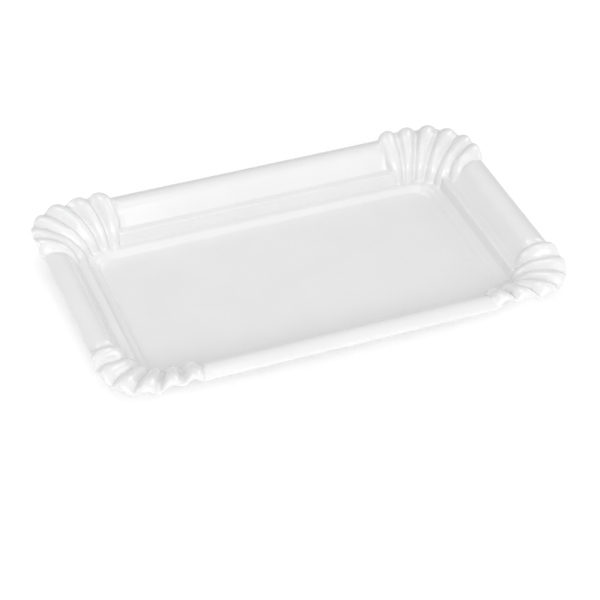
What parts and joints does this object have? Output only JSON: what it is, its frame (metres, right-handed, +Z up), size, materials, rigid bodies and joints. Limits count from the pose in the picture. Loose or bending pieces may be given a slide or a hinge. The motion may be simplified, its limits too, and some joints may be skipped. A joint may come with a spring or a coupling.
{
  "type": "china serving platter",
  "caption": "Rectangular white porcelain serving platter with a flat well, a stepped wall, a rolled rim and fluted, scalloped corners.",
  "frame": {"origin": "on the table under the middle of the platter", "axes": "+X along the platter's length, +Y across it, +Z up out of the well"},
  "size_m": [0.303, 0.1976, 0.0337],
  "materials": {
    "biscuit_porcelain": "matt, fine-grained unglazed porcelain",
    "white_glaze": "glossy white glaze with soft edges where it pools",
    "bare_foot": "unglazed, ground flat"
  },
  "bodies": {
    "root": {"porcelain_body": "biscuit_porcelain", "foot_ring": "bare_foot", "glaze_coat": "white_glaze", "glaze_base_panel": "white_glaze"}
  },
  "joints": []
}
